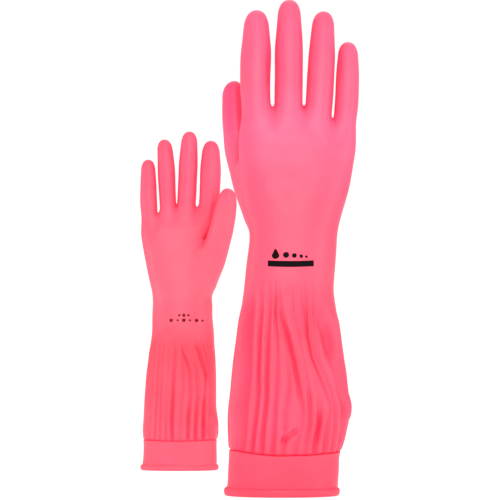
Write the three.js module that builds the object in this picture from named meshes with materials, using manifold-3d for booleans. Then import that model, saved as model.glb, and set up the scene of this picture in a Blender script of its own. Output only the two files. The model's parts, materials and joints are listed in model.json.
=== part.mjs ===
// A pair of long-sleeved household gloves in pink rubber, standing upright on their cuffs.
//
// Frame: millimetres, +Z up, origin at the middle of the pair's footprint on the floor.
// The front glove shows the back of its hand to -Y, with its thumb towards -X. The rear glove is
// the same glove, turned half round about Z, so it shows its palm to -Y.
//
// Each glove is modelled in a frame of its own first: x across the palm with the thumb at -x,
// y through the glove with the palm at +y, z from the rim of the cuff up to the fingertips.
// Every section of a glove is an open hollow with a thin skin, so the hollow runs from the cuff
// into all five fingertips. Sections that bend against each other meet at round barrel ends.

import * as THREE from "three";
import { mergeVertices } from "three/addons/utils/BufferGeometryUtils.js";
import { LoftGeometry } from "three/addons/geometries/LoftGeometry.js";
import Module from "manifold-3d";

const wasm = await Module();
wasm.setup();

// ---------------------------------------------------------------- driving dimensions, mm

const WALL = 0.8; // skin thickness of the rubber
const GAP = 0.3; // left between two sections that meet

const BEAD_TOP = 3.6;
const BEAD_FOOT = 1.1; // half width of the flat that the rolled rim stands on
const BEAD_BULGE = 1.7; // half width of the roll
const BAND_TOP = 33;
const LOWER_SLEEVE_TOP = 115;
const UPPER_SLEEVE_FOOT = 105; // the upper sleeve starts inside the lower one
const SLEEVE_NEST = 1.6; // how much slimmer the upper sleeve's foot is than the lower sleeve
const SLEEVE_NEST_END = 150; // the upper sleeve has its full size from here up
const SLEEVE_TOP = 168; // the gathers end here and the smooth wrist begins
const WRIST_Z = 214; // height of the wrist's bend
const WRIST_RADIUS = 23;
const WRIST_SKIRT = 15; // the hand's barrel end reaches this far below the bend
const KNUCKLE_Z = 290; // above this the palm's rings lean over towards the little finger
const ROOF_Z = 331; // the web between the fingers, at its highest
const ROOF_FALL = 10; // how much lower the web is beside the little finger
const ROOF_FALL_FROM = 20; // x where the web starts to fall, and where it is down
const ROOF_FALL_TO = 46;

const BARREL_CUT = 0.72; // a barrel end stops at this share of its radius below its bend
const BARREL_STEP = 0.55; // where its ring between the bend and the cut lies, as a share
const BEND_ROOM = 0.5; // clear space around a barrel end
const PAST_END = 2; // how far a hollow is cut on past the open end of its skin

const TRUNK_SIDES = 24;
const DIGIT_SIDES = 12;
const SLEEVE_POWER = 2.3; // section of the sleeve: close to an oval
const PALM_POWER = 2.8; // section of the palm: boxier
const DIGIT_POWER = 2.1;

// Trunk of the glove: height, half width, half depth, x of the middle.
const HAND_STATIONS = [
  [WRIST_Z, 37.4, WRIST_RADIUS, 0],
  [231, 40, 21.5, 0.5],
  [259, 46, 20, 2],
  [288, 49.5, 18.5, 3.5],
  [317, 51.6, 16, 5.4],
  [ROOF_Z, 51.6, 13, 5.8],
];

const FRONT_STATIONS = [
  [0, 46, 25, -11],
  [18, 45, 24.5, -9],
  [BAND_TOP, 45, 24.5, -8.5],
  [49, 48, 26.5, -6],
  [69, 50, 28, -4],
  [95, 48, 27, -4],
  [LOWER_SLEEVE_TOP, 45.5, 25.5, -4.5],
  [142, 42, 24.5, -4],
  [SLEEVE_TOP, 37.5, 23.5, -4.5],
  [190.5, 37.5, 23, -2.5],
  ...HAND_STATIONS,
];

const REAR_STATIONS = [
  [0, 45.5, 26, 0.5],
  [18, 44, 25.5, 0],
  [BAND_TOP, 44, 25.5, 0],
  [46, 46, 29, 0],
  [60, 45.5, 30, -0.3],
  [76, 44.5, 31, 0.4],
  [LOWER_SLEEVE_TOP, 43, 28.5, 0.2],
  [142, 40.4, 26, -0.6],
  [SLEEVE_TOP, 38.5, 24, -2],
  [190.5, 37.3, 23, -0.8],
  ...HAND_STATIONS,
];

// Heights of the rings that each tube of the trunk is lofted through.
const BAND_RINGS = [BEAD_TOP + GAP, 18, BAND_TOP];
const LOWER_SLEEVE_RINGS = [BAND_TOP + GAP, 46, 60, 76, 95, LOWER_SLEEVE_TOP];
const UPPER_SLEEVE_RINGS = [
  UPPER_SLEEVE_FOOT, LOWER_SLEEVE_TOP, 128, SLEEVE_NEST_END, SLEEVE_TOP - GAP,
];
const WRIST_RINGS = [SLEEVE_TOP, 179, WRIST_Z - WRIST_RADIUS - BEND_ROOM];
const HAND_RINGS = [WRIST_Z, 231, 259, 288, 310, 323];
const ROOF_STEP = 0.5; // size of the ring half way in over the web of the fingers

// Fingers: half width, half depth, length from the first joint to the middle one, height of the
// first joint, and degrees that the bend is turned towards the little finger.
const FINGERS = [
  { name: "index", width: 12.2, depth: 10.6, base: 36, pivotZ: 343, tilt: 12 },
  { name: "middle", width: 12, depth: 10.6, base: 41, pivotZ: 344, tilt: 9 },
  { name: "ring", width: 11.2, depth: 10.2, base: 36, pivotZ: 343, tilt: 9 },
  { name: "little", width: 9.8, depth: 9, base: 27, pivotZ: 334, tilt: 9 },
];
const FINGER_CURL = 1.5; // degrees that a finger leans to the palm at its base
const FINGER_END_CURL = 3; // and this much more at its middle joint
const FINGER_TAPER = 0.88; // width of a fingertip section where its round end starts
const FINGERTIP_ROUND = 1.35; // height of the round end over its half width
const FINGERTIP_ANGLES = [0, 35, 62, 80]; // degrees up the round end that it has rings at
const FINGER_HOLE_RIM = 2.1; // the hole under a finger is this much slimmer than the finger
const FINGER_HOLE_HEIGHT = 40; // enough to go right through the web

// Thumb: it grows out of the palm as a tapered tube, up to its knuckle.
const THUMB_ROOT_RADIUS = 15.5;
const THUMB_ROOT_BURIED = 0.7; // how far the tube starts below its root, over its radius
const THUMB_WIDTH = 11.6;
const THUMB_DEPTH = 11.2;
const THUMB_HINGE = new THREE.Vector3(-0.85, 0.5, 0);

// How each glove holds its digits, index first: x of the first joints, degrees that the fingers
// fan out, and lengths from the middle joints to the tips. The thumb's points are its root inside
// the palm, its knuckle, its middle joint and its tip.
const FRONT_STANCE = {
  stations: FRONT_STATIONS,
  fingerX: [-32, -3.2, 23, 46.6],
  splay: [1, 1.2, 3.4, 2.4],
  fingerEnd: [42, 45.8, 41, 29.7],
  thumb: [[-34, 9, 256], [-48.5, 23, 299], [-51, 27.5, 332], [-53, 31, 365.5]],
};

const REAR_STANCE = {
  stations: REAR_STATIONS,
  fingerX: [-33.6, -5.4, 22.4, 44.6],
  splay: [-1.3, -1.5, 1.5, -0.4],
  fingerEnd: [36.4, 42.4, 38, 29.5],
  thumb: [[-36, 9, 254], [-51.5, 22.5, 293], [-57.5, 28, 321], [-62, 33, 344]],
};

// Where the two gloves stand on the floor: the middle of each wrist.
const FRONT_PLACE = [37, 0];
const REAR_PLACE = [-85.5, 344];

const PINK = {
  bead: 0xfe5975,
  band: 0xfd5d77,
  sleeve: 0xfd6e86,
  wrist: 0xfe7a95,
  hand: 0xfe7fa3,
  finger: 0xfe7fa3,
  thumb: 0xfe6384,
};
const ROUGHNESS = 0.42;

// ---------------------------------------------------------------- small helpers

const radians = THREE.MathUtils.degToRad;

function material(colour) {
  return new THREE.MeshStandardMaterial({ color: colour, roughness: ROUGHNESS, metalness: 0 });
}

// Shares the vertices of a closed surface and drops the flat triangles at its poles.
function weld(geometry) {
  const bare = new THREE.BufferGeometry();
  bare.setAttribute("position", geometry.getAttribute("position"));
  bare.setIndex(geometry.getIndex());
  const merged = mergeVertices(bare, 1e-3);
  const kept = [];
  const index = merged.getIndex().array;
  for (let i = 0; i < index.length; i += 3) {
    const [a, b, c] = [index[i], index[i + 1], index[i + 2]];
    if (a !== b && b !== c && c !== a) kept.push(a, b, c);
  }
  merged.setIndex(kept);
  return merged;
}

// A thin skin between an outer and an inner stack of rings, both listed from the same end.
// A stack that ends in a single point closes there.
function skin(outer, inner) {
  const rings = [...outer, ...inner.toReversed(), outer[0]];
  const geometry = weld(new LoftGeometry(rings));
  geometry.computeVertexNormals();
  return geometry;
}

function solid(geometry) {
  const welded = weld(geometry);
  const mesh = new wasm.Mesh({
    numProp: 3,
    vertProperties: new Float32Array(welded.getAttribute("position").array),
    triVerts: new Uint32Array(welded.getIndex().array),
  });
  return new wasm.Manifold(mesh);
}

function geometryOf(manifold) {
  const mesh = manifold.getMesh();
  const geometry = new THREE.BufferGeometry();
  geometry.setAttribute("position", new THREE.BufferAttribute(mesh.vertProperties, 3));
  geometry.setIndex(new THREE.BufferAttribute(mesh.triVerts, 1));
  geometry.computeVertexNormals();
  return geometry;
}

function namedMesh(name, geometry, colour) {
  const mesh = new THREE.Mesh(geometry, material(colour));
  mesh.name = name;
  return mesh;
}

// A rounded, slightly boxy ring. power 2 is an ellipse, and larger powers are boxier.
function roundedRing({ x = 0, z, width, depth, power, sides }) {
  const points = [];
  for (let i = 0; i < sides; i++) {
    const angle = (i / sides) * 2 * Math.PI;
    const across = Math.cos(angle);
    const through = Math.sin(angle);
    const px = x + width * Math.sign(across) * Math.abs(across) ** (2 / power);
    const py = depth * Math.sign(through) * Math.abs(through) ** (2 / power);
    points.push(new THREE.Vector3(px, py, z));
  }
  return points;
}

// ---------------------------------------------------------------- the trunk of a glove

function trunkProfile(stations) {
  const heights = stations.map((row) => row[0]);
  const values = stations.flatMap((row) => row.slice(1));
  return new THREE.CubicInterpolant(heights, values, 3, new Float64Array(3));
}

function trunkPower(z) {
  const share = THREE.MathUtils.smoothstep(z, SLEEVE_TOP, KNUCKLE_Z);
  return SLEEVE_POWER + share * (PALM_POWER - SLEEVE_POWER);
}

function trunkRing(profile, z, inset) {
  const [width, depth, x] = profile.evaluate(z);
  const size = { width: width - inset, depth: depth - inset };
  return roundedRing({ x, z, ...size, power: trunkPower(z), sides: TRUNK_SIDES });
}

// One open tube of the trunk. inset(z) makes it slimmer where it goes inside its neighbour.
function trunkTube(profile, heights, inset = () => 0) {
  const outer = heights.map((z) => trunkRing(profile, z, inset(z)));
  const inner = heights.map((z) => trunkRing(profile, z, inset(z) + WALL));
  return skin(outer, inner);
}

// The rolled rim: a flat foot on the floor and a round back.
function cuffBead(profile) {
  const half = BEAD_TOP / 2;
  const section = [[-BEAD_FOOT, 0], [BEAD_FOOT, 0]];
  for (let degrees = 0; degrees <= 180; degrees += 60) {
    const angle = radians(degrees);
    section.push([BEAD_BULGE * Math.cos(angle), half + half * Math.sin(angle)]);
  }
  const ring = ([out, z]) => {
    const points = trunkRing(profile, 0, BEAD_BULGE - out);
    return points.map((point) => point.setZ(z));
  };
  const rings = [...section, section[0]].map(ring);
  const geometry = weld(new LoftGeometry(rings));
  geometry.computeVertexNormals();
  return geometry;
}

function sleeveNest(z) {
  return SLEEVE_NEST * (1 - THREE.MathUtils.smoothstep(z, LOWER_SLEEVE_TOP, SLEEVE_NEST_END));
}

// ---------------------------------------------------------------- the hand

function roofHeight(x) {
  return ROOF_Z - ROOF_FALL * THREE.MathUtils.smoothstep(x, ROOF_FALL_FROM, ROOF_FALL_TO);
}

// Above the knuckles a ring leans over, so that the top one lies along the web of the fingers.
function lean(ring) {
  for (const point of ring) {
    const share = (point.z - KNUCKLE_Z) / (ROOF_Z - KNUCKLE_Z);
    if (share > 0) point.z = KNUCKLE_Z + share * (roofHeight(point.x) - KNUCKLE_Z);
  }
  return ring;
}

// Below the bend the hand is a barrel: round in depth about the bend, straight in width.
function barrelRing(profile, drop, inset) {
  const [width, , x] = profile.evaluate(WRIST_Z);
  const depth = Math.sqrt((WRIST_RADIUS - inset) ** 2 - drop ** 2);
  const z = WRIST_Z - drop;
  return roundedRing({
    x, z, width: width - inset, depth, power: trunkPower(z), sides: TRUNK_SIDES,
  });
}

function handRings(profile, inset, skirt) {
  const rings = [skirt, skirt * BARREL_STEP].map((drop) => barrelRing(profile, drop, inset));
  for (const z of HAND_RINGS) rings.push(trunkRing(profile, z, inset));
  const top = trunkRing(profile, ROOF_Z, inset);
  const middle = new THREE.Vector3(profile.evaluate(ROOF_Z)[2], 0, ROOF_Z);
  for (const share of [1, ROOF_STEP, 0]) {
    rings.push(top.map((point) => middle.clone().lerp(point, share)));
  }
  rings.forEach(lean);
  rings.slice(-3).forEach((ring) => ring.forEach((point) => point.setZ(point.z - inset)));
  return rings;
}

function fingerHole(x, finger) {
  const shaft = new THREE.CylinderGeometry(1, 1, FINGER_HOLE_HEIGHT, DIGIT_SIDES);
  shaft.rotateX(Math.PI / 2);
  shaft.scale(finger.width - FINGER_HOLE_RIM, finger.depth - FINGER_HOLE_RIM, 1);
  shaft.translate(x, 0, roofHeight(x));
  return solid(shaft);
}

// The part of the thumb that is one with the palm: a tapered tube up to just below its knuckle.
// `extra` carries it on past that end.
function thumbRoot(stance, inset, extra) {
  const [root, knuckle] = stance.thumb.map((point) => new THREE.Vector3(...point));
  const along = knuckle.clone().sub(root);
  const length = along.length() - THUMB_DEPTH - BEND_ROOM + extra;
  const buried = THUMB_ROOT_RADIUS * THUMB_ROOT_BURIED;
  const rings = [
    digitRing(-buried, buried - inset, buried - inset),
    digitRing(0, THUMB_ROOT_RADIUS - inset, THUMB_ROOT_RADIUS - inset),
    digitRing(length, THUMB_WIDTH - inset, THUMB_DEPTH - inset),
  ];
  const geometry = new LoftGeometry(rings, { capStart: true, capEnd: true });
  geometry.applyQuaternion(digitTurn(along, THUMB_HINGE));
  geometry.translate(root.x, root.y, root.z);
  return solid(geometry);
}

function hand(profile, stance) {
  const outer = new LoftGeometry(handRings(profile, 0, WRIST_SKIRT), { capStart: true });
  const hollow = handRings(profile, WALL, WRIST_SKIRT + PAST_END);
  const inner = new LoftGeometry(hollow, { capStart: true });
  let space = solid(inner).add(thumbRoot(stance, WALL, PAST_END));
  FINGERS.forEach((finger, i) => {
    space = space.add(fingerHole(stance.fingerX[i], finger));
  });
  const body = solid(outer).add(thumbRoot(stance, 0, 0)).subtract(space);
  const geometry = geometryOf(body);
  geometry.translate(0, 0, -WRIST_Z);
  const mesh = namedMesh("hand", geometry, PINK.hand);
  mesh.position.z = WRIST_Z;
  return mesh;
}

// ---------------------------------------------------------------- fingers and thumb

// Turns a digit so that its length lies along `direction` and it bends about `hinge`: its own
// -x axis is the hinge, as nearly as its direction allows.
function digitTurn(direction, hinge) {
  const along = direction.clone().normalize();
  const across = hinge.clone().negate().projectOnPlane(along).normalize();
  const through = along.clone().cross(across);
  const basis = new THREE.Matrix4().makeBasis(across, through, along);
  return new THREE.Quaternion().setFromRotationMatrix(basis);
}

function digitRing(z, width, depth) {
  return roundedRing({ z, width, depth, power: DIGIT_POWER, sides: DIGIT_SIDES });
}

// The barrel end below a bend, listed upwards, without the ring at the bend itself.
function barrelEnd(width, radius, cut) {
  return [1, BARREL_STEP].map((share) => {
    const drop = cut * share;
    return digitRing(-drop, width, Math.sqrt(radius ** 2 - drop ** 2));
  });
}

function baseRings({ width, radius, length }, inset) {
  const top = length - radius - BEND_ROOM;
  const heights = [0, top / 2, top];
  return [
    ...barrelEnd(width - inset, radius - inset, radius * BARREL_CUT),
    ...heights.map((z) => digitRing(z, width - inset, radius - inset)),
  ];
}

function endRings({ width, radius, length }, inset) {
  const shoulder = length - width * FINGERTIP_ROUND;
  const round = FINGERTIP_ANGLES.map((degrees) => {
    const share = Math.cos(radians(degrees)) * FINGER_TAPER;
    const z = shoulder + (length - inset - shoulder) * Math.sin(radians(degrees));
    return digitRing(z, (width - inset) * share, (radius - inset) * share);
  });
  return [
    ...barrelEnd(width - inset, radius - inset, radius * BARREL_CUT),
    digitRing(0, width - inset, radius - inset),
    ...round,
    digitRing(length - inset, 0, 0),
  ];
}

function digitMesh(name, rings, colour, pivot, direction, hinge) {
  const mesh = namedMesh(name, skin(rings(0), rings(WALL)), colour);
  mesh.position.copy(pivot);
  mesh.quaternion.copy(digitTurn(direction, hinge));
  return mesh;
}

function leaning(splay, curl) {
  const [side, forward] = [radians(splay), radians(curl)];
  const flat = Math.cos(forward);
  return new THREE.Vector3(Math.sin(side) * flat, Math.sin(forward), Math.cos(side) * flat);
}

// The two sections of a digit: a straight tube from its first joint to its second, and the
// round-ended one beyond.
function digit(name, size, points, hinge, colour) {
  const [first, second, tip] = points;
  const toSecond = second.clone().sub(first);
  const toTip = tip.clone().sub(second);
  const base = (inset) => baseRings({ ...size, length: toSecond.length() }, inset);
  const end = (inset) => endRings({ ...size, length: toTip.length() }, inset);
  return [
    digitMesh(`${name}_base`, base, colour, first, toSecond, hinge),
    digitMesh(`${name}_end`, end, colour, second, toTip, hinge),
  ];
}

// Fingers bend towards the palm and a little towards the little finger.
function finger(stance, spec, i) {
  const [x, splay] = [stance.fingerX[i], stance.splay[i]];
  const tilt = radians(spec.tilt);
  const hinge = new THREE.Vector3(-Math.cos(tilt), Math.sin(tilt), 0);
  const first = new THREE.Vector3(x, 0, spec.pivotZ);
  const second = leaning(splay, FINGER_CURL).multiplyScalar(spec.base).add(first);
  const end = leaning(splay, FINGER_CURL + FINGER_END_CURL);
  const tip = end.multiplyScalar(stance.fingerEnd[i]).add(second);
  const size = { width: spec.width, radius: spec.depth };
  return digit(spec.name, size, [first, second, tip], hinge, PINK.finger);
}

function thumb(stance) {
  const points = stance.thumb.slice(1).map((point) => new THREE.Vector3(...point));
  const size = { width: THUMB_WIDTH, radius: THUMB_DEPTH };
  return digit("thumb", size, points, THUMB_HINGE, PINK.thumb);
}

// ---------------------------------------------------------------- one glove, and the pair

function glove(prefix, stance) {
  const profile = trunkProfile(stance.stations);
  const group = new THREE.Group();
  group.add(
    namedMesh("cuff_bead", cuffBead(profile), PINK.bead),
    namedMesh("cuff_band", trunkTube(profile, BAND_RINGS), PINK.band),
    namedMesh("sleeve_lower", trunkTube(profile, LOWER_SLEEVE_RINGS), PINK.sleeve),
    namedMesh("sleeve_upper", trunkTube(profile, UPPER_SLEEVE_RINGS, sleeveNest), PINK.sleeve),
    namedMesh("wrist", trunkTube(profile, WRIST_RINGS), PINK.wrist),
    hand(profile, stance),
    ...FINGERS.flatMap((spec, i) => finger(stance, spec, i)),
    ...thumb(stance),
  );
  for (const mesh of group.children) mesh.name = `${prefix}_${mesh.name}`;
  return group;
}

function pair() {
  const front = glove("front", FRONT_STANCE);
  const rear = glove("rear", REAR_STANCE);
  front.position.set(...FRONT_PLACE, 0);
  rear.position.set(...REAR_PLACE, 0);
  rear.rotation.z = Math.PI;
  const gloves = new THREE.Group();
  gloves.add(front, rear);
  const box = new THREE.Box3().setFromObject(gloves, true);
  const middle = box.getCenter(new THREE.Vector3());
  gloves.position.set(-middle.x, -middle.y, -box.min.z);
  return gloves;
}

export default pair();
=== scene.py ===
"""Looks for the pair of long rubber gloves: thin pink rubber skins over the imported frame.

Every glove is shaped in a frame of its own, in millimetres: x across the palm with the thumb
at -x, y through the glove with the palm at +y, z up from the floor. Its hand is one implicit
surface, meshed finely and cut between the bodies that bend. Its sleeve is a gathered tube.
"""

import json
import math

import bpy
import numpy as np
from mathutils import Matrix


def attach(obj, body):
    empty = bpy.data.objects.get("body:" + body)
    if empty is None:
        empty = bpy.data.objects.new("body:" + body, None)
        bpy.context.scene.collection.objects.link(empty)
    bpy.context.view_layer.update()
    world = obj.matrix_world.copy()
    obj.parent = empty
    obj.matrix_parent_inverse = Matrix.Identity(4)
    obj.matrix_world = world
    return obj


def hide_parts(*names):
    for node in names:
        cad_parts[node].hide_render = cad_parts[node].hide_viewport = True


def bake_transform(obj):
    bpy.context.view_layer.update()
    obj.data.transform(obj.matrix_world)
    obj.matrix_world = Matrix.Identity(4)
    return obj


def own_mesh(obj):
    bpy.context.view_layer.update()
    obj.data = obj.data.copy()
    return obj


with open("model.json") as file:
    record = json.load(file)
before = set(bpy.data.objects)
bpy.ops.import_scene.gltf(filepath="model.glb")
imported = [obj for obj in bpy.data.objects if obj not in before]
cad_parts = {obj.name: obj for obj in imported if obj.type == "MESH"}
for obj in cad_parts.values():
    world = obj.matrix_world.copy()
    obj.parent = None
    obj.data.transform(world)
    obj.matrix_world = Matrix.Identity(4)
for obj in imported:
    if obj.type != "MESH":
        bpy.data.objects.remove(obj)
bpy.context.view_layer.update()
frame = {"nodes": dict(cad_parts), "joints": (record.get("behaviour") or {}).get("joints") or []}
JOINTS = {joint["name"]: joint for joint in frame["joints"]}

MM = 0.001
SKIN = 0.8  # thickness of the rubber
FINGERS = ("index", "middle", "ring", "little")
DIGITS = FINGERS + ("thumb",)

JOIN_Z = 180.0  # the gathered sleeve ends here and the smooth hand skin begins
FULL_FOLD_SHADE = 3.0  # mm, a valley this deep has the deepest painted shade
COLUMNS = 480  # round the sleeve
SLEEVE_ROWS = 132
HAND_STEP = 1.15  # size of the cells that the hand is meshed with
WRIST_BLEND = (194.0, 234.0)  # heights across the wrist; the end points made from them go unused
SLOPE_STEP = 0.15  # half the step over which a field's slope is taken
NOISE_ROWS = 256

# ---------------------------------------------------------------- small maths


def fade(x, a, b):
    """0 at a, 1 at b, smooth between."""
    t = np.clip((x - a) / (b - a), 0, 1)
    return t * t * (3 - 2 * t)


def smooth_min(a, b, k):
    h = np.maximum(k - np.abs(a - b), 0) / k
    return np.minimum(a, b) - h * h * k * 0.25


def smooth_max(a, b, k):
    return -smooth_min(-a, -b, k)


def unit(v):
    v = np.asarray(v, float)
    return v / np.linalg.norm(v, axis=-1, keepdims=True)


class Table:
    """Smoothly interpolated columns over one variable."""

    def __init__(self, rows, sigma, step=0.5):
        rows = np.array(rows, float)
        lo, hi = rows[0, 0] - 30, rows[-1, 0] + 30
        self.x = np.arange(lo, hi + step, step)
        width = max(1, int(3 * sigma / step))
        kernel = np.exp(-0.5 * (np.arange(-width, width + 1) * step / sigma) ** 2)
        kernel /= kernel.sum()
        self.columns = []
        for k in range(1, rows.shape[1]):
            # straight on past both ends, so that smoothing keeps the slope there
            first = (rows[1, k] - rows[0, k]) / (rows[1, 0] - rows[0, 0])
            last = (rows[-1, k] - rows[-2, k]) / (rows[-1, 0] - rows[-2, 0])
            v = np.interp(self.x, rows[:, 0], rows[:, k])
            below, above = self.x < rows[0, 0], self.x > rows[-1, 0]
            v[below] = rows[0, k] + first * (self.x[below] - rows[0, 0])
            v[above] = rows[-1, k] + last * (self.x[above] - rows[-1, 0])
            padded = np.pad(v, width, mode="edge")
            self.columns.append(np.convolve(padded, kernel, mode="valid"))

    def at(self, x):
        return [np.interp(x, self.x, c) for c in self.columns]


def noise_1d(x, seed, period=None):
    """Smooth value noise in one variable, from -1 to 1."""
    rng = np.random.RandomState(seed)
    size = period or 512
    values = rng.uniform(-1, 1, size)
    i = np.floor(x).astype(int)
    t = x - i
    t = t * t * (3 - 2 * t)
    return values[i % size] * (1 - t) + values[(i + 1) % size] * t


def noise_2d(x, y, seed, period_x):
    """Smooth value noise in two variables, from -1 to 1, that repeats in x."""
    rng = np.random.RandomState(seed)
    values = rng.uniform(-1, 1, (period_x, NOISE_ROWS))
    i, j = np.floor(x).astype(int), np.floor(y).astype(int)
    u, v = x - i, y - j
    u, v = u * u * (3 - 2 * u), v * v * (3 - 2 * v)
    left, right = i % period_x, (i + 1) % period_x
    low, high = (
        values[left, row] * (1 - u) + values[right, row] * u
        for row in (j % NOISE_ROWS, (j + 1) % NOISE_ROWS)
    )
    return low * (1 - v) + high * v


# ---------------------------------------------------------------- sizes of a glove, mm

# Height, half width, half depth, x of the middle, boxiness of the section.
WRIST = [
    [203, 37.3, 22.8, -1.0, 2.35],
    [214, 37.0, 22.6, -0.2, 2.4],
    [219, 37.3, 22.4, 0.0, 2.4],
    [231, 39.8, 21.6, 0.4, 2.45],
]
FRONT_HAND = [
    [245, 43.6, 20.6, 1.1, 2.5],
    [259, 46.6, 19.0, 1.9, 2.6],
    [288, 50.2, 15.2, 3.5, 2.8],
    [310, 52.0, 12.2, 5.2, 3.1],
    [331, 52.2, 10.9, 6.1, 3.4],
    [345, 52.0, 10.8, 6.1, 3.4],
]
REAR_HAND = [
    [245, 43.0, 20.6, 0.6, 2.5],
    [259, 45.7, 19.0, 1.0, 2.6],
    [288, 49.2, 15.2, 2.5, 2.8],
    [310, 51.0, 12.2, 4.3, 3.1],
    [331, 51.4, 10.9, 5.3, 3.4],
    [345, 51.2, 10.8, 5.4, 3.4],
]

FRONT_ROWS = [
    [0, 45.6, 25, -11.5, 2.3],
    [5, 45.0, 24.6, -10.7, 2.3],
    [18, 45, 24.5, -9.7, 2.3],
    [33, 45, 24.5, -9.0, 2.3],
    [49, 47.8, 26.8, -6.6, 2.3],
    [69, 49.4, 28.3, -4.9, 2.3],
    [95, 47.8, 27.3, -4.6, 2.3],
    [115, 45.1, 25.8, -5.1, 2.3],
    [142, 41.8, 24.6, -4.5, 2.3],
    [168, 37.6, 23.5, -4.6, 2.3],
    [190.5, 37.6, 23, -2.5, 2.32],
    *WRIST,
    *FRONT_HAND,
]

REAR_ROWS = [
    [0, 46.2, 26, 0.5, 2.3],
    [5, 45.2, 25.6, 0.2, 2.3],
    [18, 44.6, 25.5, 0, 2.3],
    [33, 44.4, 25.5, 0, 2.3],
    [46, 46.2, 29, 0, 2.3],
    [60, 45.6, 30, -0.4, 2.3],
    [76, 43.8, 31, 0.8, 2.3],
    [115, 42.6, 28.5, 0.3, 2.3],
    [142, 41, 26, -0.8, 2.3],
    [168, 38.5, 24, -2, 2.3],
    [190.5, 37.4, 23, -0.8, 2.32],
    *WRIST,
    *REAR_HAND,
]

# Half depths at a finger's root, its two joints and near its tip.
FINGER_DEPTHS = {
    "index": [11.0, 10.8, 10.6, 9.4],
    "middle": [11.5, 10.8, 10.6, 9.2],
    "ring": [11.0, 10.4, 10.2, 8.6],
    "little": [9.0, 9.3, 9.0, 7.8],
}
# Half widths at the same places, and how far it lies to the side of its joints and of its tip.
FINGER_SHAPES = {
    "front": {
        "index": ([11.8, 13.1, 13.7, 10.9], [-0.5, -0.5, -0.5]),
        "middle": ([12.2, 12.3, 12.4, 10.0], [-0.3, -0.3, -0.6]),
        "ring": ([11.3, 11.9, 11.9, 9.5], [1.0, 1.0, 1.0]),
        "little": ([9.0, 10.3, 10.1, 8.5], [0.7, 0.7, 0.7]),
    },
    "rear": {
        "index": ([11.8, 13.1, 13.5, 11.2], [-0.5, -0.5, -0.5]),
        "middle": ([11.8, 11.9, 12.2, 10.1], [0.5, 0.2, -0.3]),
        "ring": ([10.4, 10.6, 11.3, 9.7], [-2.5, -1.6, 0.3]),
        "little": ([9.2, 10.9, 10.1, 8.7], [-0.8, 0.2, 0.8]),
    },
}
THUMB_SIZES = {
    "front": ([13.0, 14.2, 11.2, 11.2, 10.0], [13.0, 13.6, 11.2, 11.0, 9.2]),
    "rear": ([16.4, 18.0, 15.8, 14.4, 12.2], [14.5, 14.5, 11.6, 11.0, 9.2]),
}
THUMB_ASIDE = {"front": 0.0, "rear": 1.8}
THUMB_ROOTS = {
    "front": [[-26, 7, 236], [-35.5, 11, 258]],
    "rear": [[-28, 7, 231], [-38.5, 11, 254]],
}

PALM_MIDDLE = 6.0
FINGER_BURIED = 44.0  # how far a finger's shape runs down inside the palm
FINGER_APART = 1.2  # rounding between two fingers
WEB_BELOW = 32.0  # the palm turns into the fingers from here below the web
WEB_ABOVE = 3.0  # to here above it
THUMB_CLEARANCE = 2.4  # between the thumb and the palm, above their web
PALM_CLEFT = 15.0  # palm this near to the thumb gets the painted shade of the cleft between them
THUMB_CLEFT = 4.0  # thumb this near to the palm gets it too
FINGER_CLEFT = 3.2  # skin about this near to two fingers gets the painted shade of the narrow cleft between them
FINGER_SHADE = 9.0  # and this near, in the soft shade beside it
WEB_SHADE = (9.0, 1.0)  # the clefts begin between these depths below the web
FINGER_CLEFT_SHADE = 0.8  # how deep the painted shade in the fingers' clefts is, as a share of the thumb's
DENT_SHADE = 0.55  # painted shade in a dent, for each mm of its depth
THUMB_BURIED = 14.0  # the thumb's root may lie this deep in the palm
# Dents in a finger's shown side: x, height, half width, half height, depth.
DENTS = {"front": [(-19.5, 365, 4.0, 22, 1.4), (40.2, 366, 2.6, 12, 0.9)], "rear": []}


def web_height(x):
    return 331.5 - 12.5 * fade(x, 20, 38)


# ---------------------------------------------------------------- shapes as distance fields


def section_distance(x, y, a, b, power):
    """About how far a point lies outside a rounded section of half sizes a and b."""
    px, py = np.abs(x / a) + 1e-6, np.abs(y / b) + 1e-6
    q = (px**power + py**power) ** (1 / power)
    slope = q ** (1 - power) * np.hypot(px ** (power - 1) / a, py ** (power - 1) / b)
    return (q - 1) / slope


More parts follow.
